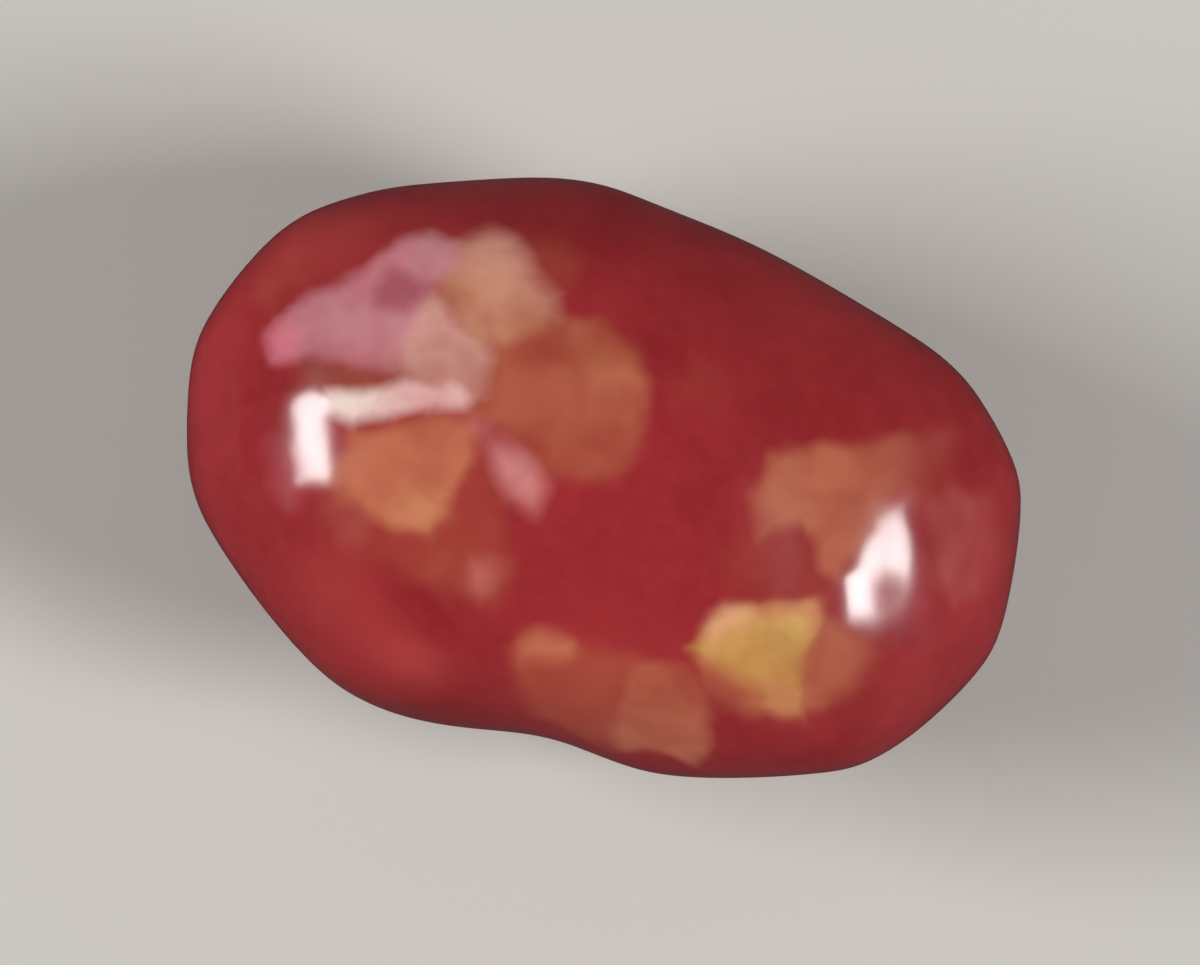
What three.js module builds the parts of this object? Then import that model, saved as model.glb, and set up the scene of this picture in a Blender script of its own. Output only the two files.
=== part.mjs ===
import * as THREE from "three";
import { mergeVertices } from "three/addons/utils/BufferGeometryUtils.js";

// A jelly bean: one kidney-shaped sweet of fruit jelly under a glazed candy shell.
// Millimetres, +Z up. The bean lies on its broad side, its length along X and its
// hollow belly towards -Y. It rests on a small flat spot, and the origin is the
// bottom centre of its bounding box.

// Overall half sizes before the sides are flattened.
const HALF_LENGTH = 8.03;
const HALF_WIDTH = 5.3;
const HALF_HEIGHT = 4.5;

// How square the bean is: 2 is an ellipse, larger is fuller at the corners.
const PLAN_FULLNESS = 2.36;
const SECTION_FULLNESS = 2.1;

// The hollow of the belly, and the swelling beside it: how deep each is, where it
// lies along the bean, and how far it reaches.
const BELLY_HOLLOW = { depth: 0.4, along: 0.8, reach: 2.2 };
const BELLY_SWELL = { depth: -0.26, along: -2.9, reach: 1.6 };

// Shallow waves left in the shell by tumbling: each wave runs along its own
// direction, given in radians per millimetre, and starts at its own phase.
const WAVE_HEIGHT = 0.045;
const WAVES = [
  { run: new THREE.Vector3(0.85, 0.7, 0), phase: 0.4, share: 1 },
  { run: new THREE.Vector3(-0.55, 0.95, 1.1), phase: 2.0, share: 1 },
  { run: new THREE.Vector3(1.7, 0.9, -0.9), phase: 1.0, share: 0.6 },
];

// Soft flats where the bean was pressed against its neighbours. The heading is
// the angle, in degrees, that the flat faces in plan, counted from +X.
// The level is the height of the flat's fullest line above the bean's middle. The
// distance runs from the bean's upright axis to that line, and the softness
// rounds the flat's edges. Upwards and downwards each flat is barrel-shaped.
const FLATS = {
  bellyLeft: { heading: 233, level: 0.6, distance: 6.64, softness: 0.5 },
  bellyRight: { heading: 283, level: -0.5, distance: 5.46, softness: 0.5 },
  haunchRight: { heading: 296, level: 0.4, distance: 6.04, softness: 0.6 },
  tipRight: { heading: 331, level: -0.6, distance: 7.58, softness: 0.6 },
  bluntEnd: { heading: 9, level: -0.4, distance: 8.04, softness: 0.35 },
  shoulderRight: { heading: 49.5, level: 0.6, distance: 7.05, softness: 0.45 },
  backRight: { heading: 78.8, level: 0.7, distance: 5.37, softness: 0.45 },
  backLeft: { heading: 114.2, level: -0.5, distance: 6.02, softness: 0.6 },
  upperLeft: { heading: 135, level: 0.4, distance: 7.14, softness: 0.55 },
  shoulderLeft: { heading: 159.3, level: 0.6, distance: 7.71, softness: 0.45 },
  tipLeft: { heading: 200, level: -0.4, distance: 7.9, softness: 0.5 },
};
const BARREL_RADIUS = 5.5;

// The flat spot the bean rests on: how much is taken off the bottom.
const FOOT_CUT = 0.08;

// Each edge of the starting icosahedron is split into one part more than this.
const SPLITS = 15;

const BEAN_RED = 0x97323a;
const GLAZE_ROUGHNESS = 0.18;

/** Zero below the corner, the full distance above it, a parabola in between. */
function softRamp(distance, softness) {
  if (distance < -softness) {
    return 0;
  }
  if (distance > softness) {
    return distance;
  }
  return (distance + softness) ** 2 / (4 * softness);
}

/** Push a point back to a flat that bulges a little and has softly rounded edges. */
function pressFlat(point, flat) {
  const heading = THREE.MathUtils.degToRad(flat.heading);
  const outward = new THREE.Vector3(Math.cos(heading), Math.sin(heading), 0);
  const recede = (point.z - flat.level) ** 2 / (2 * BARREL_RADIUS);
  const excess = point.dot(outward) - (flat.distance - recede);
  point.addScaledVector(outward, -softRamp(excess, flat.softness));
}

/** The full, unpressed bean body in a unit direction from its middle. */
function fullBody(direction) {
  const plan =
    (Math.abs(direction.x) ** PLAN_FULLNESS + Math.abs(direction.y) ** PLAN_FULLNESS) **
    (1 / PLAN_FULLNESS);
  const reach =
    (plan ** SECTION_FULLNESS + Math.abs(direction.z) ** SECTION_FULLNESS) **
    (-1 / SECTION_FULLNESS);
  return new THREE.Vector3(
    direction.x * reach * HALF_LENGTH,
    direction.y * reach * HALF_WIDTH,
    direction.z * reach * HALF_HEIGHT,
  );
}

/** How far a bell-shaped hollow or swelling shifts the belly at a point. */
function bellyShift(point, feature) {
  const bell = Math.exp(-(((point.x - feature.along) / feature.reach) ** 2));
  return feature.depth * bell;
}

/** Height of the tumbling waves at a point, fading out towards the bottom. */
function waveHeight(point) {
  const fade = THREE.MathUtils.clamp((point.z + HALF_HEIGHT) / HALF_HEIGHT, 0, 1);
  let height = 0;
  for (const wave of WAVES) {
    height += wave.share * Math.sin(wave.run.dot(point) + wave.phase);
  }
  return WAVE_HEIGHT * fade * height;
}

/** One point of the bean's skin, from the unit direction it starts in. */
function skinPoint(direction) {
  const point = fullBody(direction);
  const bellyShare = THREE.MathUtils.smoothstep(-point.y / HALF_WIDTH, 0, 1);
  point.y += bellyShare * (bellyShift(point, BELLY_HOLLOW) + bellyShift(point, BELLY_SWELL));
  point.addScaledVector(direction, waveHeight(point));
  for (const flat of Object.values(FLATS)) {
    pressFlat(point, flat);
  }
  point.z = Math.max(point.z, FOOT_CUT - HALF_HEIGHT);
  return point;
}

/** The closed skin of the bean with its flat foot at height zero. */
function beanGeometry() {
  const sphere = new THREE.IcosahedronGeometry(1, SPLITS);
  sphere.deleteAttribute("normal");
  sphere.deleteAttribute("uv");
  const skin = mergeVertices(sphere);
  const position = skin.getAttribute("position");
  const direction = new THREE.Vector3();
  for (let i = 0; i < position.count; i += 1) {
    direction.fromBufferAttribute(position, i).normalize();
    const point = skinPoint(direction);
    position.setXYZ(i, point.x, point.y, point.z);
  }
  skin.computeBoundingBox();
  const middle = skin.boundingBox.getCenter(new THREE.Vector3());
  skin.translate(-middle.x, -middle.y, -skin.boundingBox.min.z);
  skin.computeVertexNormals();
  return skin;
}

const shell = new THREE.MeshStandardMaterial({
  color: BEAN_RED,
  roughness: GLAZE_ROUGHNESS,
  metalness: 0,
});

const bean = new THREE.Mesh(beanGeometry(), shell);
bean.name = "jelly_bean";

const part = new THREE.Group();
part.name = "jelly_bean_sweet";
part.add(bean);

export default part;
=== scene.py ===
"""A jelly bean: soft fruit jelly in a glazed candy shell flecked with coloured film.

The bean's body is a rounded block, bent on its belly side and pressed flat here
and there. Chips of candy film lie in the shell, some at its surface and some
deeper, and a clear glaze covers all of it. Shapes are worked out in millimetres
and put into the meshes in metres.
"""

import logging
import math
from dataclasses import dataclass, field
from enum import Enum

import bpy
import numpy as np
from mathutils import Matrix, Vector


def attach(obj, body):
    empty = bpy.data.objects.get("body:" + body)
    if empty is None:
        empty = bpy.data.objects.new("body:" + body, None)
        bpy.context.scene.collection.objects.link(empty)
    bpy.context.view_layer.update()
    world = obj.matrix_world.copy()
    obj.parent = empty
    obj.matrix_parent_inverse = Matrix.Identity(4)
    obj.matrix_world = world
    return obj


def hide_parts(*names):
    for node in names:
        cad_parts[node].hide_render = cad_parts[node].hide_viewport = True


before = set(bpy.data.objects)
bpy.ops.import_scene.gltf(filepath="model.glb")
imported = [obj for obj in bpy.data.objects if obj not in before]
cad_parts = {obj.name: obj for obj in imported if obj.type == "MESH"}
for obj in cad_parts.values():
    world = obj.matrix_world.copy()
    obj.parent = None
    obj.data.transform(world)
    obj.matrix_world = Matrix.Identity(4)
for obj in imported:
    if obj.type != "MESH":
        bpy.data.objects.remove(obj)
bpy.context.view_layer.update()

LOG = logging.getLogger("jelly_bean")

Colour = tuple[float, float, float, float]
Socket = bpy.types.NodeSocket

METRES = 0.001
STRAIGHT_UP = 90.0
# Mesh attribute of painted light on the shell where positive, and of painted shade where negative.
PAINTED_LIGHT_AND_SHADE = "painted_light_and_shade"

# A chip with a broken outline: its number of corners, how far each strays in angle
# as a share of the step to the next, and how near the middle one may stand as a
# share of the chip's size.
FEWEST_CORNERS = 5
MOST_CORNERS = 7
CORNER_STRAY = 0.3
NEAREST_CORNER = 0.62


def linear(red: int, green: int, blue: int) -> Colour:
    """Turn a display colour into a shader's linear one, along the sRGB curve.

    Args:
        red: Red of the display colour, 0 to 255.
        green: Green of the display colour, 0 to 255.
        blue: Blue of the display colour, 0 to 255.

    Returns:
        The linear red, green and blue, and an alpha of one.
    """
    shown = np.array([red, green, blue]) / 255.0
    low = shown / 12.92
    high = ((shown + 0.055) / 1.055) ** 2.4
    return (*np.where(shown <= 0.04045, low, high).tolist(), 1.0)


def smooth_step(value: np.ndarray, low: float, high: float) -> np.ndarray:
    """Rise from 0 at low to 1 at high along the cubic 3t squared minus 2t cubed.

    Args:
        value: The values to place.
        low: Where the rise starts.
        high: Where the rise ends.

    Returns:
        The height of the rise at each value.
    """
    part = np.clip((value - low) / (high - low), 0.0, 1.0)
    return part * part * (3.0 - 2.0 * part)


def add_object(name: str, data: bpy.types.ID) -> bpy.types.Object:
    """Make an object of a mesh, light or camera and put it into the scene."""
    made = bpy.data.objects.new(name, data)
    bpy.context.scene.collection.objects.link(made)
    return made


class Film(Enum):
    """The kinds of candy film in the shell, in the order they cover each other.

    Some chips hold painted light instead: a painted lilac glow beside both highlights,
    a painted pale highlight band, and a line of painted shade.

    Each names the mesh attribute that marks it. At every point it holds the distance
    inside the film's outline in millimetres, its depth, which is 0 at the shell's
    surface and 1 where the shell hides it, and its tone, which is 0 for its dark
    colour and 1 for its light one.
    """

    EMBER = "film_ember"
    GOLD = "film_gold"
    AMBER = "film_amber"
    CREAM = "film_cream"
    TAN = "film_tan"
    # Lilac film, also used for the painted glow beside both highlights.
    LILAC_AND_HALO = "film_lilac_and_halo"
    PETAL = "film_petal"
    MAUVE = "film_mauve"
    ROSE = "film_rose"
    HONEY = "film_honey"
    # A line of painted shade along the lilac chip's lower edge.
    SEAM = "film_shade_line"
    # Pale film, also used for a painted highlight band.
    PALE_AND_HIGHLIGHT = "film_pale_and_highlight"


@dataclass(frozen=True)
class Flat:
    """A soft flat on the bean's side, barrel-shaped upwards and downwards.

    Attributes:
        heading: Angle in plan that the flat faces, in degrees from +X.
        level: Height of its fullest line above the bean's middle.
        distance: From the upright axis to that line.
        softness: How far its rounded edges reach.
    """

    heading: float
    level: float
    distance: float
    softness: float

    def press(self, points: np.ndarray, barrel_radius: float) -> np.ndarray:
        """Push what stands beyond the flat back to it.

        The excess is the distance along the heading, less the flat's own distance,
        plus the height from its level squared over twice the barrel radius. A
        parabola leads from no push to a full push over the softness.

        Args:
            points: Points of the skin, one row each.
            barrel_radius: Radius of the flat's bulge upwards and downwards.

        Returns:
            The pressed points.
        """
        angle = math.radians(self.heading)
        outward = np.array([math.cos(angle), math.sin(angle), 0.0])
        recede = (points[:, 2] - self.level) ** 2 / (2.0 * barrel_radius)
        excess = points @ outward - (self.distance - recede)
        soft = (excess + self.softness) ** 2 / (4.0 * self.softness)
        push = np.where(excess < -self.softness, 0.0, soft)
        push = np.where(excess > self.softness, excess, push)
        return points - push[:, None] * outward


@dataclass(frozen=True)
class Bend:
    """A bell-shaped hollow in the belly side, or a swelling where it is negative."""

    depth: float
    along: float
    reach: float

    def shift(self, along: np.ndarray) -> np.ndarray:
        """Depth times e to minus the squared distance over the squared reach."""
        return self.depth * np.exp(-(((along - self.along) / self.reach) ** 2))


@dataclass(frozen=True)
class Wave:
    """A wave over the skin: its run in radians per millimetre, phase and share."""

    run: tuple[float, float, float]
    phase: float
    share: float

    def height(self, points: np.ndarray) -> np.ndarray:
        """Share times the sine of the run dotted with the point, plus the phase."""
        return self.share * np.sin(points @ np.array(self.run) + self.phase)


@dataclass(frozen=True)
class Spot:
    """A soft round spot on the skin, placed in plan or in space."""

    place: tuple[float, ...]
    reach: float
    strength: float

    def amount(self, points: np.ndarray) -> np.ndarray:
        """Strength times e to minus the squared distance over the squared reach."""
        gap = ((points[:, : len(self.place)] - np.array(self.place)) ** 2).sum(1)
        return self.strength * np.exp(-gap / self.reach**2)


@dataclass(frozen=True)
class Chip:
    """One chip of candy film in the shell.

    Attributes:
        film: What it is made of.
        corners: Its corners in its own plane, in millimetres, in order.
        heading: Angle in plan of the side it lies on, in degrees from +X.
        lift: Angle of that side above the horizontal: 90 is the top.
        turn: Angle it is turned by in its own plane, in degrees.
        depth: 0 at the shell's surface, 1 where the shell hides it.
        sink: How much the depth grows in a millimetre along each side of its plane.
        tone: 0 for the film's dark colour, 1 for its light one.
        lean: How much the tone grows in a millimetre along each side of its plane.
    """

    film: Film
    corners: tuple[tuple[float, float], ...]
    heading: float = 0.0
    lift: float = STRAIGHT_UP
    turn: float = 0.0
    depth: float = 0.0
    sink: tuple[float, float] = (0.0, 0.0)
    tone: float = 0.5
    lean: tuple[float, float] = (0.0, 0.0)

    @staticmethod
    def broken(film: Film, seed: int, size: float, stretch: float, *place: float) -> "Chip":
        """Make a chip with a broken outline of its own.

        The corners stand at uneven angles round the middle, each at its own share
        of the size, and the whole is stretched one way.

        Args:
            film: What it is made of.
            seed: Seed for the outline.
            size: Distance of its farthest corners from its middle.
            stretch: How many times longer than wide it is.
            place: Its heading, lift, turn and depth.

        Returns:
            The chip.
        """
        rng = np.random.default_rng(seed)
        count = int(rng.integers(FEWEST_CORNERS, MOST_CORNERS + 1))
        stray = rng.uniform(-CORNER_STRAY, CORNER_STRAY, count)
        angle = (np.arange(count) + stray) * 2.0 * np.pi / count
        radius = size * rng.uniform(NEAREST_CORNER, 1.0, count)
        across = radius * np.sin(angle) / stretch
        along = radius * np.cos(angle)
        corners = tuple(zip(along.tolist(), across.tolist()))
        return Chip(film, corners, *place)

    def facing(self) -> np.ndarray:
        """Unit vector of the side the chip lies on."""
        heading, lift = math.radians(self.heading), math.radians(self.lift)
        flat = math.cos(lift)
        return np.array([flat * math.cos(heading), flat * math.sin(heading), math.sin(lift)])

    def own_plane(self) -> np.ndarray:
        """Two unit rows that span the chip's plane, turned by its turn."""
        heading, turn = math.radians(self.heading), math.radians(self.turn)
        first = np.array([-math.sin(heading), math.cos(heading), 0.0])
        second = np.cross(self.facing(), first)
        if self.lift >= STRAIGHT_UP:
            first, second = np.array([1.0, 0.0, 0.0]), np.array([0.0, 1.0, 0.0])
        cosine, sine = math.cos(turn), math.sin(turn)
        return np.stack([cosine * first + sine * second, cosine * second - sine * first])

    def edge_distance(self, flat: np.ndarray) -> np.ndarray:
        """Distance inside the chip's outline at each place, negative outside it.

        It is the least distance to the outline's straight sides, signed by whether
        a ray crosses the outline an odd number of times.

        Args:
            flat: Places in the chip's own plane, one row each.

        Returns:
            One distance a place, in millimetres.
        """
        start = np.array(self.corners)
        side = np.roll(start, -1, axis=0) - start
        to_point = flat[:, None, :] - start
        length = (side**2).sum(1)
        part = np.clip((to_point * side).sum(2) / length, 0.0, 1.0)
        gap = np.linalg.norm(to_point - part[:, :, None] * side, axis=2).min(1)
        rising = side[:, 1] > 0.0
        reaches = (to_point[:, :, 1] >= np.where(rising, 0.0, side[:, 1])) & (
            to_point[:, :, 1] < np.where(rising, side[:, 1], 0.0)
        )
        turn = to_point[:, :, 0] * side[:, 1] - to_point[:, :, 1] * side[:, 0]
        left = np.where(rising, turn < 0.0, turn > 0.0)
        inside = (reaches & left).sum(1) % 2 == 1
        return np.where(inside, gap, -gap)

    def depth_and_tone(self, flat: np.ndarray) -> np.ndarray:
        """Depth and tone at each place: both lean from the mean of the corners."""
        slopes = np.stack([self.sink, self.lean], 1)
        offset = flat - np.array(self.corners).mean(0)
        return np.clip(np.array([self.depth, self.tone]) + offset @ slopes, 0.0, 1.0)


@dataclass
class BeanBody:
    """The bean's body, its sizes in millimetres.

    Attributes:
        half_length, half_width, half_height: Before the flats and the foot are cut.
        plan_fullness: How square the plan is: 2 is an ellipse, larger is fuller.
        section_fullness: How square the upright sections are.
        barrel_radius: Radius of the flats' bulge upwards and downwards.
        foot_cut: How much is taken off the bottom.
        wave_height: Height of the waves.
        cells: Faces along each side of a grid.
        bends: The hollow and the swelling of the belly.
        waves: Shallow waves that tumbling leaves in the shell.
        flats: Where the bean was pressed, all round its side.
        dimples: Shallow dimples in the top, and low swellings where negative.
    """

    half_length: float = 8.03
    half_width: float = 5.3
    half_height: float = 4.5
    plan_fullness: float = 2.36
    section_fullness: float = 2.1
    barrel_radius: float = 5.5
    foot_cut: float = 0.08
    wave_height: float = 0.045
    cells: int = 118
    bends: tuple[Bend, ...] = (Bend(0.4, 0.8, 2.2), Bend(-0.26, -2.9, 1.6))
    waves: tuple[Wave, ...] = (
        Wave((0.85, 0.7, 0.0), 0.4, 1.0),
        Wave((-0.55, 0.95, 1.1), 2.0, 1.0),
        Wave((1.7, 0.9, -0.9), 1.0, 0.6),
    )
    flats: tuple[Flat, ...] = (
        Flat(233.0, 0.6, 6.64, 0.5),
        Flat(283.0, -0.5, 5.46, 0.5),
        Flat(296.0, 0.4, 6.04, 0.6),
        Flat(331.0, -0.6, 7.58, 0.6),
        Flat(9.0, -0.4, 8.04, 0.35),
        Flat(49.5, 0.6, 7.05, 0.45),
        Flat(78.8, 0.7, 5.37, 0.45),
        Flat(114.2, -0.5, 6.02, 0.6),
        Flat(135.0, 0.4, 7.14, 0.55),
        Flat(159.3, 0.6, 7.71, 0.45),
        Flat(200.0, -0.4, 7.9, 0.5),
    )
    dimples: tuple[Spot, ...] = (
        Spot((6.013, -0.836), 0.608, 0.05),
        Spot((6.047, -0.217), 0.48, 0.027),
        Spot((5.4, 0.472), 0.629, 0.05),
        Spot((4.862, -0.58), 0.633, -0.05),
        Spot((5.712, 1.798), 0.445, -0.05),
        Spot((5.137, 0.39), 0.456, -0.027),
        Spot((-5.242, -1.49), 0.757, 0.042),
        Spot((-6.125, -0.527), 0.42, -0.03),
        Spot((-5.411, -2.335), 0.42, -0.045),
    )

    def cube_grid(self) -> tuple[np.ndarray, np.ndarray]:
        """Lay six square grids round a ball, joined along their sides.

        Each grid runs over two parameters from -1 to 1. The tangent of 45 degrees
        times each parameter is a place on a face of a cube, and that place over
        its distance from the middle is the direction.

        Returns:
            The unit directions, one row each, and the quads as rows of four.
        """
        step = np.tan(np.linspace(-1.0, 1.0, self.cells + 1) * np.pi / 4.0)
        u, v = np.meshgrid(step, step, indexing="ij")
        one = np.ones_like(u)
        faces = [(one, u, v), (-one, v, u), (v, one, u), (u, -one, v), (u, v, one), (v, u, -one)]
        places = np.stack([np.stack(face, -1) for face in faces])
        flat = np.round(places.reshape(-1, 3), decimals=9) + 0.0
        corners, index = np.unique(flat, axis=0, return_inverse=True)
        index = index.reshape(places.shape[:3])
        quads = np.stack(
            [index[:, :-1, :-1], index[:, 1:, :-1], index[:, 1:, 1:], index[:, :-1, 1:]], -1
        ).reshape(-1, 4)
        return corners / np.linalg.norm(corners, axis=1, keepdims=True), quads

    def skin(self, directions: np.ndarray) -> np.ndarray:
        """Carry unit directions to the bean's skin.

        The plan is a squared-off ellipse and every upright section through the
        axis is another: the reach in a direction is the sum of the plan's part and
        the height's part, each to the section's power, to the power of minus one
        over it. The belly is bent in, the waves lift the skin along the direction,
        the flats press it, the dimples shape its top, which they reach in full a
        millimetre above the middle, and the foot cuts it off level.

        Args:
            directions: Unit directions, one row each.

        Returns:
            Points of the skin in millimetres, measured from the bean's middle.
        """
        parts = np.abs(directions)
        plan = (parts[:, 0] ** self.plan_fullness + parts[:, 1] ** self.plan_fullness) ** (
            1.0 / self.plan_fullness
        )
        reach = (plan**self.section_fullness + parts[:, 2] ** self.section_fullness) ** (
            -1.0 / self.section_fullness
        )
        half = np.array([self.half_length, self.half_width, self.half_height])
        points = directions * reach[:, None] * half
        belly = smooth_step(-points[:, 1] / self.half_width, 0.0, 1.0)
        points[:, 1] += belly * sum(bend.shift(points[:, 0]) for bend in self.bends)
        fade = np.clip((points[:, 2] + self.half_height) / self.half_height, 0.0, 1.0)
        lift = self.wave_height * fade * sum(wave.height(points) for wave in self.waves)
        points = points + directions * lift[:, None]
        for flat in self.flats:
            points = flat.press(points, self.barrel_radius)
        top = smooth_step(points[:, 2], 0.0, 1.0)
        points[:, 2] -= top * sum(dimple.amount(points) for dimple in self.dimples)
        points[:, 2] = np.maximum(points[:, 2], self.foot_cut - self.half_height)
        return points


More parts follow.
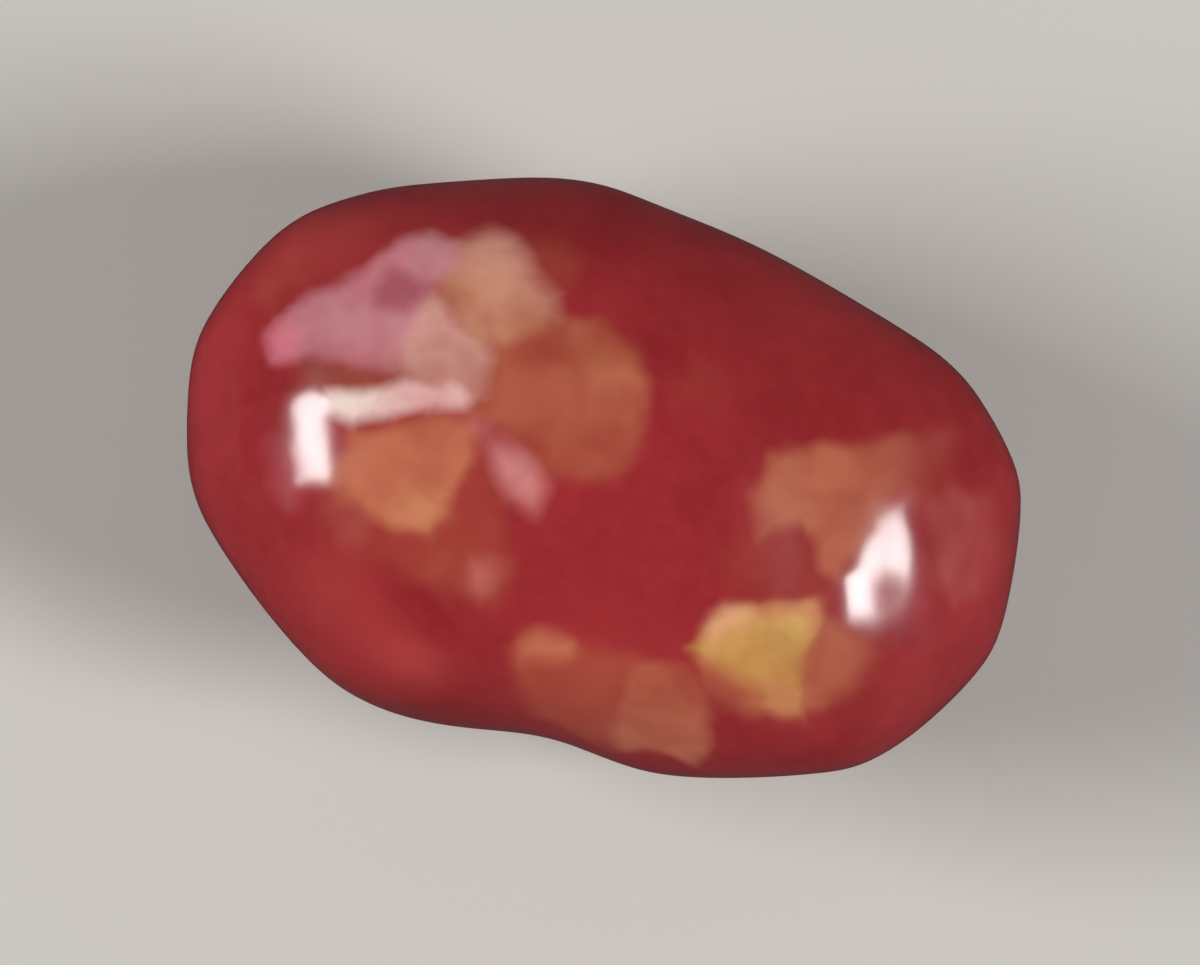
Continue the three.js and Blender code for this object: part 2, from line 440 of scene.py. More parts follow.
@dataclass
class FilmChips:
    """All the chips of film in the shell, and how they mark the skin.

    Attributes:
        far: Distance held by the points that no chip is near.
        reach_below: How far below its middle a chip marks the skin, if it isn't on top.
        hem_level: Level where the top's chips end on the sides.
        hem_sway: Wave in plan by which that level rises and falls.
        ripple_height, ripples: The waves that make the chips' sides uneven.
        chips: The chips on the top, then those on the sides and below.
    """

    far: float = -4.0
    reach_below: float = 2.4
    hem_level: float = 1.15
    hem_sway: Wave = Wave((2.6, 2.6, 0.0), 0.0, 0.4)
    ripple_height: float = 0.03
    ripples: tuple[Wave, ...] = (
        Wave((3.1, 1.7, 0.0), 0.3, 1.0),
        Wave((-2.2, 5.3, 2.9), 0.0, 0.7),
        Wave((7.9, 6.1, -4.0), 1.0, 0.5),
    )
    chips: tuple[Chip, ...] = (
        Chip(Film.EMBER, (
            (-2.65, 3.75), (-2.0, 3.85), (-1.6, 3.55), (-1.65, 3.1), (-2.1, 3.0), (-2.45, 3.3),
        ), depth=0.35, tone=0.4),
        Chip(Film.EMBER, (
            (0.7, 1.85), (1.15, 2.45), (1.65, 2.35), (1.75, 1.85), (1.15, 1.65),
        ), depth=0.7, tone=0.5),
        Chip(Film.EMBER, (
            (-4.75, -1.75), (-4.45, -0.75), (-3.1, 0.15), (-2.3, -0.1), (-1.8, -0.6), (-1.5, -1.3),
            (-1.1, -2.1), (-1.05, -2.9), (-2.1, -3.05), (-3.5, -2.85), (-4.6, -2.65),
        ), depth=0.35, tone=0.35),
        Chip(Film.EMBER, (
            (3.05, -0.2), (4.05, 0.2), (4.5, 0.2), (4.8, -0.4), (4.7, -0.8), (4.25, -1.05),
            (3.45, -1.3), (2.95, -1.3), (2.65, -0.8),
        ), depth=0.6, tone=0.35),
        Chip(Film.EMBER, (
            (5.2, 2.2), (5.9, 2.95), (6.2, 2.35), (6.1, 1.45), (5.5, 1.3),
        ), depth=0.5, tone=0.4),
        Chip(Film.EMBER, (
            (-0.6, -3.65), (-0.3, -3.25), (0.35, -3.1), (1.65, -3.05), (1.75, -4.35), (1.6, -5.1),
            (0.75, -4.9), (0.15, -4.55), (-0.25, -4.1),
        ), depth=0.25, tone=1.0),
        Chip(Film.GOLD, (
            (2.55, -2.6), (2.85, -2.1), (3.05, -1.75), (3.4, -1.6), (4.25, -1.2), (4.5, -1.05),
            (4.8, -1.35), (4.9, -2.25), (5.0, -3.05), (4.6, -3.15), (3.45, -3.0), (3.0, -2.8),
        ), tone=0.58, lean=(0.05, 0.33)),
        Chip(Film.AMBER, (
            (-2.65, 0.2), (-2.65, 1.7), (-2.25, 2.3), (-0.95, 2.6), (0.0, 2.3), (0.3, 1.9),
            (0.45, 1.35), (0.6, 0.75), (0.4, -0.05), (-0.2, -0.35), (-0.9, -0.4), (-1.6, 0.05),
        ), depth=0.16, sink=(0.03, 0.0), tone=0.3, lean=(0.08, 0.02)),
        Chip(Film.AMBER, (
            (-4.6, -0.75), (-4.05, -0.55), (-3.3, 0.0), (-2.9, 0.15), (-2.4, 0.1), (-2.25, -0.6),
            (-2.55, -1.6), (-2.75, -2.0), (-3.2, -2.2), (-4.35, -2.0), (-4.65, -1.65),
        ), depth=0.02, tone=0.44, lean=(0.04, -0.12)),
        Chip(Film.AMBER, (
            (-2.3, -2.35), (-1.8, -2.2), (-1.1, -2.25), (-1.05, -2.9), (-1.8, -3.0), (-2.3, -2.75),
        ), depth=0.6, tone=0.4),
        Chip(Film.AMBER, (
            (2.8, 0.5), (2.9, 1.3), (3.65, 1.7), (4.7, 2.2), (5.2, 2.45), (5.45, 2.05), (5.3, 1.1),
            (5.05, 0.1), (4.8, -0.45), (4.45, -0.4), (4.2, 0.1), (3.85, 0.2), (3.2, -0.25),
        ), depth=0.06, sink=(0.15, 0.0), tone=0.54, lean=(0.1, 0.0)),
        Chip(Film.AMBER, (
            (4.8, -1.2), (5.2, -1.25), (5.7, -1.3), (6.05, -1.6), (5.7, -2.25), (5.35, -2.85),
            (4.9, -3.05), (4.6, -2.25),
        ), depth=0.15, sink=(0.5, 0.0), tone=0.5),
        Chip(Film.AMBER, (
            (4.35, -2.6), (4.9, -2.6), (5.05, -3.1), (4.6, -3.2), (4.15, -3.1),
        ), depth=0.25, tone=0.85),
        Chip(Film.AMBER, (
            (1.7, -3.2), (2.25, -2.95), (2.9, -2.9), (3.25, -3.05), (3.35, -3.6), (3.55, -4.25),
            (3.2, -4.75), (2.05, -5.0), (1.6, -4.3),
        ), depth=0.14, tone=0.52, lean=(0.15, -0.25)),
        Chip(Film.AMBER, (
            (-0.4, -3.5), (-0.1, -3.2), (0.55, -3.15), (0.6, -3.4), (0.15, -3.6), (-0.25, -3.7),
        ), depth=0.2, tone=0.75),
        Chip(Film.AMBER, (
            (-7.15, 1.2), (-7.0, 1.7), (-6.6, 2.1), (-6.3, 1.75), (-6.6, 1.3), (-6.85, 1.1),
        ), depth=0.7, tone=0.4),
        Chip(Film.AMBER, (
            (2.8, -2.65), (3.35, -2.75), (4.35, -2.9), (4.2, -3.3), (3.55, -3.4), (2.95, -3.3),
        ), depth=0.15, tone=0.42),
        Chip(Film.CREAM, (
            (-4.65, 3.05), (-4.3, 3.2), (-4.0, 3.05), (-4.0, 2.6), (-4.5, 2.6),
        ), depth=0.5, tone=0.3),
        Chip(Film.CREAM, (
            (-4.05, 2.25), (-3.7, 2.2), (-3.35, 1.75), (-2.85, 1.6), (-2.55, 1.3), (-2.5, 0.6),
            (-3.75, 0.4), (-4.35, 0.5), (-4.6, 1.2), (-4.5, 1.8),
        ), depth=0.08, tone=0.35, lean=(-0.3, 0.1)),
        Chip(Film.TAN, (
            (-4.05, 2.9), (-3.8, 3.25), (-3.3, 3.65), (-2.85, 3.65), (-2.55, 3.4), (-2.25, 3.05),
            (-1.8, 2.85), (-1.65, 2.45), (-1.95, 2.1), (-2.45, 1.75), (-2.85, 1.55), (-3.4, 1.85),
            (-4.0, 2.3),
        ), depth=0.2, sink=(0.0, 0.1), tone=0.35, lean=(0.1, 0.6)),
        Chip(Film.LILAC_AND_HALO, (
            (-6.65, 0.5), (-6.45, 0.95), (-6.15, 1.45), (-5.75, 1.8), (-5.25, 2.25), (-4.85, 2.95),
            (-4.4, 3.3), (-3.85, 3.2), (-3.8, 2.7), (-4.2, 1.7), (-4.25, 1.1), (-4.05, 0.5),
            (-4.85, 0.35), (-5.75, 0.35), (-6.05, 0.25), (-6.4, 0.1),
        ), depth=0.06, tone=0.5),
        # Painted glow of the right highlight, lilac, beside its lower lobe.
        Chip(Film.LILAC_AND_HALO, (
            (5.9, -0.15), (6.2, -0.1), (6.5, -0.35), (6.6, -0.95), (6.2, -1.3), (5.9, -1.05),
        ), depth=0.82, tone=0.4),
        # Painted glow of the left highlight, lilac, below its lower end.
        Chip(Film.LILAC_AND_HALO, (
            (-5.9, -1.35), (-5.5, -1.55), (-5.25, -2.05), (-5.3, -2.35), (-5.65, -2.05),
        ), depth=0.65, tone=0.3),
        Chip(Film.PETAL, (
            (-6.7, 0.45), (-6.55, 0.75), (-6.2, 0.7), (-6.05, 0.25), (-6.4, 0.05),
        ), depth=0.2, tone=1.0),
        Chip(Film.PETAL, (
            (-5.45, 1.85), (-5.1, 2.35), (-4.85, 2.9), (-4.6, 2.95), (-4.75, 2.6), (-4.95, 2.25),
            (-5.1, 1.85), (-5.3, 1.65),
        ), depth=0.45, tone=0.5),
        Chip(Film.MAUVE, (
            (-5.05, 1.9), (-4.85, 2.35), (-4.5, 2.4), (-4.15, 2.25), (-4.15, 1.95), (-4.4, 1.7),
            (-4.9, 1.65),
        ), depth=0.12, tone=0.35),
        Chip(Film.ROSE, (
            (-5.3, 0.55), (-5.15, 0.75), (-4.25, 0.8), (-4.1, 0.6), (-4.65, 0.45), (-5.15, 0.4),
        ), depth=0.5, tone=0.2),
        Chip(Film.ROSE, (
            (5.05, 2.35), (5.9, 2.8), (5.95, 2.35), (5.75, 1.25), (5.2, 1.1),
        ), depth=0.5, tone=0.05),
        Chip(Film.ROSE, (
            (-2.65, 0.2), (-2.2, 0.15), (-1.8, -0.2), (-1.2, -0.3), (-0.8, -0.6), (-0.9, -1.1),
            (-1.4, -1.05), (-1.8, -0.65), (-2.05, -0.25), (-2.55, 0.0),
        ), depth=0.28, tone=0.6, lean=(0.2, 0.0)),
        Chip(Film.ROSE, (
            (-1.7, -2.3), (-1.35, -2.2), (-1.2, -2.55), (-1.35, -2.95), (-1.65, -2.9),
        ), depth=0.35, tone=0.4),
        Chip(Film.ROSE, (
            (-4.3, -2.15), (-3.8, -2.2), (-3.75, -2.55), (-4.15, -2.65),
        ), depth=0.4, tone=0.2),
        Chip(Film.ROSE, (
            (6.05, 1.35), (6.2, 1.85), (6.9, 1.9), (7.3, 1.1), (7.35, 0.3), (7.0, -0.05),
            (6.65, 0.05), (6.4, 0.65),
        ), depth=0.4, tone=0.2),
        Chip(Film.HONEY, (
            (-1.1, 2.05), (-0.65, 2.35), (-0.1, 2.2), (0.05, 1.8), (-0.2, 1.5), (-0.75, 1.7),
        ), depth=0.78, tone=0.0),
        Chip(Film.HONEY, (
            (-3.45, 2.5), (-3.25, 2.95), (-2.85, 3.05), (-2.5, 2.8), (-2.65, 2.4), (-3.1, 2.25),
        ), depth=0.5, tone=0.9),
        Chip(Film.HONEY, (
            (2.75, -2.3), (2.85, -2.05), (3.05, -1.7), (3.45, -1.55), (3.35, -1.9), (3.15, -2.2),
            (2.95, -2.45),
        ), depth=0.3, tone=0.65, lean=(0.0, 0.4)),
        Chip(Film.AMBER, (
            (3.55, -1.5), (4.25, -1.15), (4.6, -1.0), (4.85, -1.25), (4.85, -1.75), (4.65, -1.65),
            (4.5, -1.4), (4.25, -1.4), (3.65, -1.65),
        ), depth=0.22, tone=0.9),
        Chip(Film.HONEY, (
            (-3.25, -1.45), (-2.65, -1.3), (-2.5, -1.7), (-2.7, -2.05), (-3.3, -2.1),
        ), depth=0.55, tone=0.2),
        # Painted shade: a thin brownish line along the lilac chip's lower edge, above the highlight
        # band.
        Chip(Film.SEAM, (
            (-5.85, 0.15), (-5.65, 0.3), (-4.85, 0.45), (-4.15, 0.65), (-3.7, 0.55), (-4.15, 0.2),
            (-4.85, -0.1), (-5.45, -0.2), (-5.8, -0.1),
        ), depth=0.15, tone=0.6),
        # Painted highlight: the band that runs on from the left highlight along a fold, ivory to
        # pink.
        Chip(Film.PALE_AND_HIGHLIGHT, (
            (-5.25, -0.2), (-4.95, -0.1), (-4.35, 0.2), (-3.95, 0.45), (-3.3, 0.6), (-2.9, 0.7),
            (-2.65, 0.55), (-2.75, 0.3), (-3.1, 0.2), (-3.55, 0.05), (-4.25, -0.4), (-4.6, -0.6),
            (-5.15, -0.55),
        ), depth=0.0, tone=0.4, lean=(-0.22, 0.1)),
        Chip(Film.PALE_AND_HIGHLIGHT, (
            (-1.9, -0.25), (-1.6, -0.25), (-1.2, -0.4), (-1.15, -0.75), (-1.55, -0.75),
            (-1.8, -0.5),
        ), depth=0.6, tone=0.0),
        Chip.broken(Film.AMBER, 11, 1.5, 1.4, 184.0, -20.0, 20.0, 0.35),
        Chip.broken(Film.LILAC_AND_HALO, 12, 1.8, 1.6, 98.0, -27.0, -25.0, 0.1),
        Chip.broken(Film.AMBER, 13, 1.5, 1.3, 60.0, -15.0, 50.0, 0.2),
        Chip.broken(Film.TAN, 21, 0.9, 1.5, 73.0, -38.0, -10.0, 0.15),
        Chip.broken(Film.GOLD, 14, 1.0, 1.3, 127.0, -15.0, 10.0, 0.05),
        Chip.broken(Film.AMBER, 22, 1.3, 1.2, 140.0, -33.0, 40.0, 0.4),
        Chip.broken(Film.AMBER, 15, 1.3, 1.5, 4.0, -26.0, 75.0, 0.3),
        Chip.broken(Film.PALE_AND_HIGHLIGHT, 23, 0.4, 1.9, 22.0, -17.0, -30.0, 0.3),
        Chip.broken(Film.ROSE, 16, 0.7, 1.5, 330.0, -14.0, 0.0, 0.3),
        Chip.broken(Film.AMBER, 17, 1.7, 1.2, 243.0, -34.0, 15.0, 0.45),
        Chip.broken(Film.EMBER, 24, 1.1, 1.5, 266.0, -15.0, -35.0, 0.3),
        Chip.broken(Film.HONEY, 25, 0.7, 1.4, 296.0, -34.0, 20.0, 0.3),
        Chip.broken(Film.AMBER, 18, 1.6, 1.3, 25.0, -62.0, 30.0, 0.3),
        Chip.broken(Film.LILAC_AND_HALO, 19, 1.2, 1.7, 215.0, -55.0, 65.0, 0.2),
        Chip.broken(Film.GOLD, 20, 0.8, 1.2, 160.0, -60.0, 0.0, 0.1),
    )

    def mark(self, body: BeanBody, points: np.ndarray) -> dict[str, np.ndarray]:
        """Work out the films' marks.

        A chip on the top is laid straight down on it, as far as the hem. A chip on
        another side is laid flat against the point of the skin in its direction, and
        marks only what lies within its reach below that.

        Args:
            body: The bean the chips lie in.
            points: Points of its skin, one row each.

        Returns:
            Three numbers a point for each kind of film, by its attribute's name.
        """
        marks = {film.value: np.tile([self.far, 0.0, 0.0], (len(points), 1)) for film in Film}
        ripple = self.ripple_height * sum(wave.height(points) for wave in self.ripples)
        hem = self.hem_level + self.hem_sway.height(points)
        for chip in self.chips:
            middle, lowest = body.skin(chip.facing()[None, :])[0], -self.reach_below
            if chip.lift >= STRAIGHT_UP:
                middle, lowest = np.zeros(3), hem
            flat = (points - middle) @ chip.own_plane().T
            level = (points - middle) @ chip.facing() - lowest
            edge = np.minimum(chip.edge_distance(flat), level) + ripple
            mark = np.column_stack([edge, chip.depth_and_tone(flat)])
            nearer = edge > marks[chip.film.value][:, 0]
            marks[chip.film.value][nearer] = mark[nearer]
        return marks


@dataclass(frozen=True)
class Cloud:
    """A cloudy pattern in the shell, and the stretch of it that counts.

    Attributes:
        scale: Clouds to the metre.
        detail: How many finer layers it has.
        roughness: How strong the finer layers are.
        warp: How much it is stirred.
        low: Where it starts to count.
        high: Where it counts in full.
    """

    scale: float
    detail: float
    roughness: float = 0.5
    warp: float = 0.0
    low: float = 0.0
    high: float = 1.0


class Wiring:
    """Adds nodes to one material and joins them."""

    def __init__(self, name: str) -> None:
        """Start an empty node material of this name."""
        self.material = bpy.data.materials.new(name)
        self.material.use_nodes = True
        self.tree = self.material.node_tree
        self.tree.nodes.clear()

    def node(
        self, kind: str, inputs: dict[str | int, object] | None = None, **settings: object
    ) -> bpy.types.Node:
        """Add a node.

        Args:
            kind: The node's type.
            inputs: What its inputs are joined to, or their own values, by name or number.
            settings: Its properties by name.

        Returns:
            The node.
        """
        made = self.tree.nodes.new(kind)
        for key, value in settings.items():
            setattr(made, key, value)
        for key, value in (inputs or {}).items():
            if isinstance(value, Socket):
                self.tree.links.new(value, made.inputs[key])
            else:
                made.inputs[key].default_value = value
        return made

    def surface(self, inputs: dict[str | int, object]) -> None:
        """Add a principled shader with these inputs and join it to the output."""
        shader = self.node("ShaderNodeBsdfPrincipled", inputs)
        self.node("ShaderNodeOutputMaterial", {"Surface": shader.outputs["BSDF"]})

    def place(self) -> Socket:
        """The place on the piece, in metres."""
        return self.node("ShaderNodeTexCoord").outputs["Object"]

    def attribute(self, name: str) -> Socket:
        """The value of a mesh attribute."""
        return self.node("ShaderNodeAttribute", attribute_name=name).outputs["Fac"]

    def marks(self, film: Film) -> tuple[Socket, ...]:
        """The distance, depth and tone that the mesh holds for one kind of film."""
        held = self.node("ShaderNodeAttribute", attribute_name=film.value)
        split = self.node("ShaderNodeSeparateXYZ", {"Vector": held.outputs["Vector"]})
        return tuple(split.outputs)

    def maths(self, operation: str, first: object, second: object) -> Socket:
        """Join two numbers by a sum, product or other operation."""
        return self.node("ShaderNodeMath", {0: first, 1: second}, operation=operation).outputs[0]

    def mixed(self, share: object, first: object, second: object) -> Socket:
        """Mix two colours, by how much of the second is taken."""
        inputs = {0: share, 6: first, 7: second}
        return self.node("ShaderNodeMix", inputs, data_type="RGBA").outputs[2]

    def ranged(
        self, value: object, low: object, high: object, to_low: float = 0.0, to_high: float = 1.0
    ) -> Socket:
        """Carry a number from one range to another along a smooth step.

        Args:
            value: The number.
            low: Where the first range starts.
            high: Where the first range ends.
            to_low: Result at its start.
            to_high: Result at its end.

        Returns:
            The result's socket.
        """
        inputs = {"Value": value, "From Min": low, "From Max": high}
        inputs |= {"To Min": to_low, "To Max": to_high}
        made = self.node("ShaderNodeMapRange", inputs, interpolation_type="SMOOTHSTEP")
        return made.outputs["Result"]

    def noise(self, cloud: Cloud) -> Socket:
        """The whole of a cloudy pattern on the piece's own place, about 0.5 in the mean."""
        inputs = {"Vector": self.place(), "Scale": cloud.scale, "Detail": cloud.detail}
        inputs |= {"Roughness": cloud.roughness, "Distortion": cloud.warp}
        return self.node("ShaderNodeTexNoise", inputs).outputs["Fac"]

    def clouded(self, cloud: Cloud, to_low: float = 0.0, to_high: float = 1.0) -> Socket:
        """The stretch of a cloudy pattern that counts, carried to another range."""
        return self.ranged(self.noise(cloud), cloud.low, cloud.high, to_low, to_high)

    def facets(self, scale: float, smoothness: float) -> Socket:
        """A pattern of broken cells, each with a number of its own from 0 to 1.

        Args:
            scale: Cells to the metre.
            smoothness: How much the cells run into each other.

        Returns:
            The pattern's socket.
        """
        inputs = {"Vector": self.place(), "Scale": scale, "Smoothness": smoothness}
        cells = self.node("ShaderNodeTexVoronoi", inputs, feature="SMOOTH_F1")
        split = self.node("ShaderNodeSeparateColor", {"Color": cells.outputs["Color"]})
        return split.outputs[0]

    def bumped(self, height: Socket, distance: float, normal: Socket | None = None) -> Socket:
        """Tilt the shading normal by a height.

        Args:
            height: The height's socket, 0 to 1.
            distance: What a height of one stands for, in metres.
            normal: A normal to start from, if any.

        Returns:
            The tilted normal's socket.
        """
        inputs = {"Strength": 1.0, "Distance": distance, "Height": height}
        if normal is not None:
            inputs["Normal"] = normal
        return self.node("ShaderNodeBump", inputs).outputs["Normal"]


@dataclass(frozen=True)
class FilmTone:
    """The two tones that a film varies between."""

    light: Colour
    dark: Colour


@dataclass(frozen=True)
class CandyShell:
    """The red candy shell with its films, under a clear glaze.

    Attributes:
        red, red_dark, red_clouds: The red in and between the clouds, and the clouds.
        red_light, grain, grain_share: The red of the grain, the grain, and its share.
        painted_light_red, painted_shade_red: Colours of the painted light, lighter and warmer, and
            of the painted shade, darker.
        softness: Half a film's soft edge at the surface, and what full depth adds, in mm.
        frays, ragged: What makes the films' edges ragged, and how far, in millimetres.
        film_clouds, cloudiness: What makes a film's tone cloudy, and how much.
        facet_scale: Facets of the films to the metre.
        facet_smoothness: How much the facets run into each other.
        facet_stretch: The stretch of the facets' numbers that counts.
        brokenness: How much the tone varies between facets.
        thinning, thinned: What makes a film thin in places, and how much.
        matt, roughness: What makes the shell's roughness vary, and its range.
        peel, peel_height: The glaze's faint unevenness, and its height in metres.
        pores, pore_height: The shell's fine unevenness, and its height in metres.
        glaze: The shader's constants for the sheen, the soft inside and the coat.
        films: The tones of each kind of film.
    """

    red: Colour = linear(153, 42, 47)
    red_dark: Colour = linear(139, 34, 39)
    red_clouds: Cloud = Cloud(420.0, 4.0, 0.55, warp=0.4, low=0.34, high=0.7)
    red_light: Colour = linear(162, 52, 55)
    grain: Cloud = Cloud(2600.0, 3.0, 0.6, low=0.35, high=0.75)
    grain_share: float = 0.35
    # Colours of the painted light and of the painted shade on the shell.
    painted_light_red: Colour = linear(172, 62, 60)
    painted_shade_red: Colour = linear(122, 26, 34)
    softness: tuple[float, float] = (0.19, 0.33)
    frays: Cloud = Cloud(1500.0, 2.0, low=0.25, high=0.75)
    ragged: float = 0.04
    film_clouds: Cloud = Cloud(750.0, 2.0, warp=0.3, low=0.3, high=0.7)
    cloudiness: float = 0.14
    facet_scale: float = 900.0
    facet_smoothness: float = 0.6
    facet_stretch: tuple[float, float] = (0.1, 0.9)
    brokenness: float = 0.12
    thinning: Cloud = Cloud(1150.0, 3.0, 0.55, warp=0.6, low=0.3, high=0.6)
    thinned: float = 0.18
    matt: Cloud = Cloud(700.0, 3.0, low=0.3, high=0.7)
    roughness: tuple[float, float] = (0.28, 0.42)
    peel: Cloud = Cloud(950.0, 2.0, 0.4)
    peel_height: float = 0.000006
    pores: Cloud = Cloud(5200.0, 2.0)
    pore_height: float = 0.0000008
    glaze: dict[str, object] = field(
        default_factory=lambda: {
            "Specular IOR Level": 0.04,
            "Subsurface Weight": 0.35,
            "Subsurface Radius": (1.0, 0.34, 0.24),
            "Subsurface Scale": 0.0006,
            "Coat Weight": 1.0,
            "Coat Roughness": 0.14,
            "Coat IOR": 1.5,
        }
    )
    films: dict[Film, FilmTone] = field(
        default_factory=lambda: {
            Film.EMBER: FilmTone(linear(172, 82, 62), linear(150, 56, 46)),
            Film.GOLD: FilmTone(linear(208, 170, 94), linear(188, 130, 74)),
            Film.AMBER: FilmTone(linear(204, 126, 94), linear(154, 66, 50)),
            Film.CREAM: FilmTone(linear(222, 166, 158), linear(190, 138, 122)),
            Film.TAN: FilmTone(linear(228, 172, 152), linear(188, 128, 98)),
            # Lilac film, and the painted glow round the highlights.
            Film.LILAC_AND_HALO: FilmTone(linear(214, 152, 160), linear(174, 102, 112)),
            Film.PETAL: FilmTone(linear(216, 116, 134), linear(196, 104, 112)),
            Film.MAUVE: FilmTone(linear(170, 84, 94), linear(150, 62, 74)),
            Film.ROSE: FilmTone(linear(210, 132, 128), linear(166, 78, 72)),
            Film.HONEY: FilmTone(linear(228, 170, 142), linear(206, 142, 96)),
            # The line of painted shade.
            Film.SEAM: FilmTone(linear(152, 78, 62), linear(136, 60, 50)),
            # Pale film, and the painted highlight band, ivory to pink.
            Film.PALE_AND_HIGHLIGHT: FilmTone(linear(232, 218, 206), linear(220, 160, 160)),
        }
    )

    def shell_colour(self, wiring: Wiring) -> Socket:
        """Cloudy red, lighter and warmer in soft spots of painted light, darker in spots of painted
        shade.
        """
        cloud = wiring.clouded(self.red_clouds)
        grain = wiring.clouded(self.grain)
        red = wiring.mixed(cloud, self.red_dark, self.red)
        red = wiring.mixed(wiring.maths("MULTIPLY", grain, self.grain_share), red, self.red_light)
        # Painted light lifts the red to a lighter, warmer red; painted shade darkens it.
        painted_light_and_shade = wiring.attribute(PAINTED_LIGHT_AND_SHADE)
        red = wiring.mixed(wiring.ranged(painted_light_and_shade, 0.0, 1.0), red, self.painted_light_red)
        return wiring.mixed(wiring.ranged(painted_light_and_shade, 0.0, -1.0), red, self.painted_shade_red)

    def covered(
        self, wiring: Wiring, film: Film, under: Socket, fray: Socket, mottle: Socket, thin: Socket
    ) -> Socket:
        """Lay one kind of film over the colour under it.

        The film covers by a smooth step across its ragged edge, softer the deeper
        it lies, times one less its depth, times how thick it is there. Its colour
        goes from dark to light with its tone and the mottling.

        Args:
            wiring: The material's wiring.
            film: The kind of film.
            under: The colour under it.
            fray: What makes its edge ragged, in millimetres.
            mottle: What makes its tone uneven, 0 in the mean.
            thin: What makes its cover uneven, 1 where it is whole.

        Returns:
            The colour with the film on it.
        """
        distance, depth, tone = wiring.marks(film)
        edge = wiring.maths("ADD", distance, fray)
        crisp, blurred = self.softness
        soft = wiring.maths("ADD", wiring.maths("MULTIPLY", depth, blurred), crisp)
        inside = wiring.ranged(edge, wiring.maths("MULTIPLY", soft, -1.0), soft)
        cover = wiring.maths("MULTIPLY", inside, wiring.maths("SUBTRACT", 1.0, depth))
        cover = wiring.maths("MULTIPLY", cover, thin)
        tone = wiring.maths("ADD", tone, mottle)
        colour = wiring.mixed(tone, self.films[film].dark, self.films[film].light)
        return wiring.mixed(cover, under, colour)

    def build(self) -> bpy.types.Material:
        """Make the material.

        Returns:
            The shell's material.
        """
        wiring = Wiring("candy_shell")
        colour = self.shell_colour(wiring)
        fray = wiring.clouded(self.frays, -self.ragged, self.ragged)
        cloud = wiring.clouded(self.film_clouds, -self.cloudiness, self.cloudiness)
        broken = wiring.facets(self.facet_scale, self.facet_smoothness)
        facet = wiring.ranged(broken, *self.facet_stretch, -self.brokenness, self.brokenness)
        mottle = wiring.maths("ADD", cloud, facet)
        thin = wiring.clouded(self.thinning, 1.0 - self.thinned, 1.0)
        for film in Film:
            colour = self.covered(wiring, film, colour, fray, mottle, thin)
        peel = wiring.bumped(wiring.noise(self.peel), self.peel_height)
        inputs = {
            "Base Color": colour,
            "Roughness": wiring.clouded(self.matt, *self.roughness),
            "Normal": wiring.bumped(wiring.noise(self.pores), self.pore_height, peel),
            "Coat Normal": peel,
        }
        wiring.surface(inputs | self.glaze)
        return wiring.material


@dataclass
class JellyBean:
    """The whole bean: its body, the chips in its shell, its finish and its painted spots.

    Each spot is painted light that makes the shell lighter and warmer, or painted shade
    where its strength is negative, which makes it darker.
    """

    body: BeanBody = field(default_factory=BeanBody)
    films: FilmChips = field(default_factory=FilmChips)
    finish: CandyShell = field(default_factory=CandyShell)
    # Spots of painted light, lighter at the rims and lower side, and of painted shade where
    # negative.
    painted_spots: tuple[Spot, ...] = (
        Spot((6.9, 0.9, 1.6), 1.1, 0.35),
        Spot((-3.9, -3.5, 2.7), 1.4, 0.55),
        Spot((-2.2, -4.2, 2.6), 0.8, 0.75),
        Spot((1.2, -4.4, 2.4), 1.9, 0.6),
        Spot((2.6, 4.2, 2.6), 2.0, 0.35),
        Spot((-6.2, 2.6, 2.3), 1.3, 0.7),
        Spot((-1.2, 4.2, 2.5), 1.1, -0.45),
        Spot((-1.9, -3.2, 3.4), 0.9, -0.3),
        Spot((6.6, -2.0, 1.9), 1.3, 0.35),
    )

    def build(self) -> bpy.types.Object:
        """Make the bean's mesh and dress it.

        Returns:
            The bean, in metres, resting on the origin's level.
        """
        directions, quads = self.body.cube_grid()
        points = self.body.skin(directions)
        marks = self.films.mark(self.body, points)
        # Sum of the spots of painted light and painted shade at each point.
        marks[PAINTED_LIGHT_AND_SHADE] = sum(painted_spot.amount(points) for painted_spot in self.painted_spots)
        low, high = points.min(0), points.max(0)
        shift = np.array([(low[0] + high[0]) / 2.0, (low[1] + high[1]) / 2.0, low[2]])
        return self.put_together((points - shift) * METRES, quads, marks)

    def put_together(
        self, skin: np.ndarray, quads: np.ndarray, marks: dict[str, np.ndarray]
    ) -> bpy.types.Object:
        """Put points, faces and attributes into one smooth mesh.

        Args:
            skin: Points in metres.
            quads: Rows of four point numbers.
            marks: Attributes by name, one number or three a point.

        Returns:
            The bean's object.
        """
        mesh = bpy.data.meshes.new("jelly_bean_shell")
        mesh.vertices.add(len(skin))
        mesh.vertices.foreach_set("co", skin.astype(np.float32).ravel())
        mesh.loops.add(quads.size)
        mesh.loops.foreach_set("vertex_index", quads.astype(np.int32).ravel())
        mesh.polygons.add(len(quads))
        mesh.polygons.foreach_set("loop_start", np.arange(0, quads.size, 4, dtype=np.int32))
        mesh.update(calc_edges=True)
        mesh.polygons.foreach_set("use_smooth", np.ones(len(quads), dtype=bool))
        for name, values in marks.items():
            kind, key = ("FLOAT", "value") if values.ndim == 1 else ("FLOAT_VECTOR", "vector")
            made = mesh.attributes.new(name, kind, "POINT")
            made.data.foreach_set(key, values.astype(np.float32).ravel())
        mesh.validate()
        mesh.materials.append(self.finish.build())
        return add_object("jelly_bean_shell", mesh)


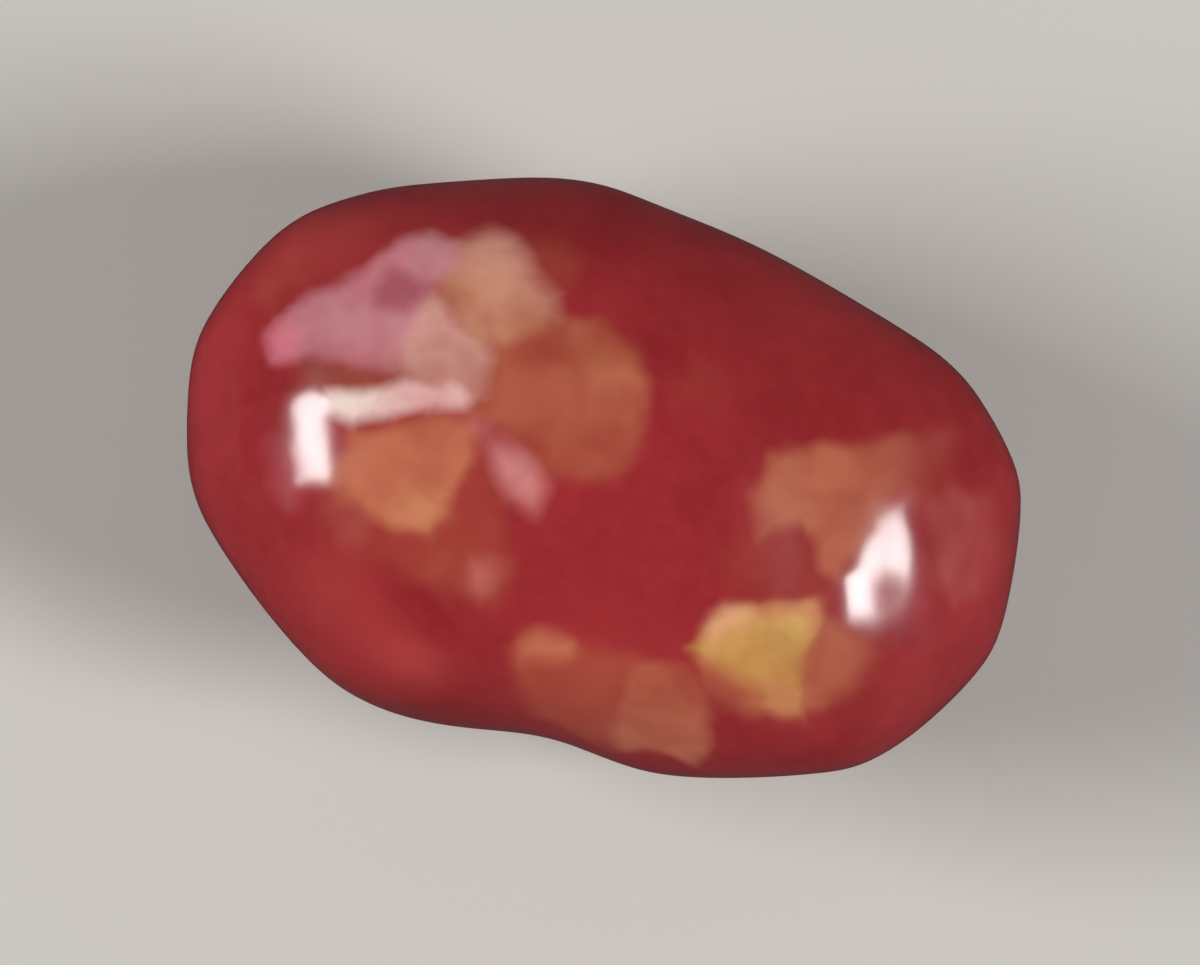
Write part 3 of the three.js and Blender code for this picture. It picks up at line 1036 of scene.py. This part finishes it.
@dataclass(frozen=True)
class SoftBox:
    """A rectangular soft light, aimed at the bean.

    Attributes:
        name: Its name.
        heading: Angle it stands at, in degrees anticlockwise from the view's right.
        tilt: Angle from straight up, in degrees.
        width, height: Its sides, in metres.
        spin: Angle it is turned by about its own axis, in degrees.
        power: Its power, in watts.
        mirrored: Whether the glaze mirrors it.
    """

    name: str
    heading: float
    tilt: float
    width: float
    height: float
    spin: float
    power: float
    mirrored: bool


@dataclass
class Studio:
    """A pale floor, soft boxes and a camera that looks down on the bean.

    Lengths are in metres and angles in degrees, except where it says otherwise.

    Attributes:
        azimuth: Angle of the view's right in plan, from +X.
        elevation: How steeply the camera looks down.
        distance, light_distance: From the camera and from each light to the aim.
        view_width: Width of the view at the aim.
        sensor: Width of the camera's sensor, in millimetres.
        clip: Nearest and farthest place the camera shows.
        aim: The place that camera and lights face.
        floor_half: Half a side of the floor.
        floor_colour, floor_in_glaze: Its colour to the eye, and as the glaze mirrors it.
        room_light, room_light_in_glaze: Strength of the room's light in the same two.
        boxes: The soft boxes.
    """

    azimuth: float = 18.5
    elevation: float = 87.0
    distance: float = 0.32
    light_distance: float = 0.34
    view_width: float = 0.0225
    sensor: float = 36.0
    clip: tuple[float, float] = (0.01, 10.0)
    aim: tuple[float, float, float] = (0.0, 0.0, 0.0045)
    floor_half: float = 0.6
    floor_roughness: float = 0.7
    floor_colour: Colour = linear(192, 188, 183)
    floor_in_glaze: Colour = linear(76, 42, 44)
    room_colour: Colour = (1.0, 0.98, 0.96, 1.0)
    room_light: float = 0.15
    room_light_in_glaze: float = 0.04
    boxes: tuple[SoftBox, ...] = (
        SoftBox("soft_box_left", 175.16, 55.56, 0.041, 0.17, -20.2, 0.54, True),
        SoftBox("soft_box_right", -18.1, 51.72, 0.065, 0.143, 31.5, 0.73, True),
        SoftBox("fill_left", 178.6, 57.5, 0.080, 0.195, -10.0, 0.51, False),
        SoftBox("fill_right", -14.5, 51.2, 0.092, 0.103, 40.0, 0.22, False),
    )

    def across(self) -> Vector:
        """Unit vector to the right of the view."""
        angle = math.radians(self.azimuth)
        return Vector((math.cos(angle), math.sin(angle), 0.0))

    def upward(self) -> Vector:
        """Unit vector towards the top of the view, level with the floor."""
        angle = math.radians(self.azimuth)
        return Vector((-math.sin(angle), math.cos(angle), 0.0))

    def floor(self) -> None:
        """Lay the pale floor, a flat square at height zero."""
        half = self.floor_half
        mesh = bpy.data.meshes.new("floor")
        corners = [(-half, -half, 0.0), (half, -half, 0.0), (half, half, 0.0), (-half, half, 0.0)]
        mesh.from_pydata(corners, [], [(0, 1, 2, 3)])
        wiring = Wiring("pale_floor")
        mirrored = wiring.node("ShaderNodeLightPath").outputs["Is Glossy Ray"]
        colour = wiring.mixed(mirrored, self.floor_colour, self.floor_in_glaze)
        wiring.surface({"Base Color": colour, "Roughness": self.floor_roughness})
        mesh.materials.append(wiring.material)
        floor = add_object("floor", mesh)

    def stand(
        self, made: bpy.types.Object, axes: tuple[Vector, ...], distance: float, spin: float = 0.0
    ) -> None:
        """Stand a light or the camera off the aim, facing it.

        Args:
            made: The light or camera.
            axes: Its three axes as unit vectors, the third pointing away from the aim.
            distance: How far it stands from the aim, in metres.
            spin: Angle it is turned by about its third axis, in degrees.
        """
        turn = Matrix(axes).transposed().to_4x4() @ Matrix.Rotation(math.radians(spin), 4, "Z")
        place = Vector(self.aim) + axes[2] * distance
        made.matrix_world = Matrix.Translation(place) @ turn

    def light(self, box: SoftBox) -> None:
        """Hang one soft box at its heading and tilt."""
        data = bpy.data.lights.new(box.name, "AREA")
        data.shape = "RECTANGLE"
        data.size = box.width
        data.size_y = box.height
        data.energy = box.power
        light = add_object(box.name, data)
        light.visible_glossy = box.mirrored
        tilt, heading = math.radians(box.tilt), math.radians(box.heading)
        level = self.across() * math.cos(heading) + self.upward() * math.sin(heading)
        second = self.upward() * math.cos(heading) - self.across() * math.sin(heading)
        way = level * math.sin(tilt) + Vector((0.0, 0.0, math.cos(tilt)))
        self.stand(light, (second.cross(way), second, way), self.light_distance, box.spin)

    def camera(self) -> None:
        """Set up the camera above the bean."""
        data = bpy.data.cameras.new("camera")
        data.sensor_width = self.sensor
        data.lens = self.sensor * self.distance / self.view_width
        data.clip_start, data.clip_end = self.clip
        lift = math.radians(self.elevation)
        back = Vector((0.0, 0.0, math.sin(lift))) - self.upward() * math.cos(lift)
        right = self.across()
        camera = add_object("camera", data)
        self.stand(camera, (right, back.cross(right), back), self.distance)
        bpy.context.scene.camera = camera

    def surroundings(self) -> None:
        """Give the room its dim, even light."""
        world = bpy.data.worlds.new("room")
        world.use_nodes = True
        nodes, links = world.node_tree.nodes, world.node_tree.links
        back = nodes["Background"]
        back.inputs["Color"].default_value = self.room_colour
        strength = nodes.new("ShaderNodeMapRange")
        strength.inputs["To Min"].default_value = self.room_light
        strength.inputs["To Max"].default_value = self.room_light_in_glaze
        mirrored = nodes.new("ShaderNodeLightPath").outputs["Is Glossy Ray"]
        links.new(mirrored, strength.inputs["Value"])
        links.new(strength.outputs["Result"], back.inputs["Strength"])
        bpy.context.scene.world = world
        bpy.context.scene.view_settings.view_transform = "Standard"

    def build(self) -> None:
        """Set up room, floor, lights and camera."""
        self.surroundings()
        self.floor()
        for box in self.boxes:
            self.light(box)
        self.camera()


def main() -> None:
    """Build the studio and the bean, and report each piece."""
    logging.basicConfig(level=logging.INFO, format="%(name)s: %(message)s")
    Studio().build()
    bean = JellyBean().build()
    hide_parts("jelly_bean")
    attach(bean, "root")
    LOG.info("%s: %d points, %d faces", bean.name, len(bean.data.vertices), len(bean.data.polygons))


if __name__ == "__main__":
    main()
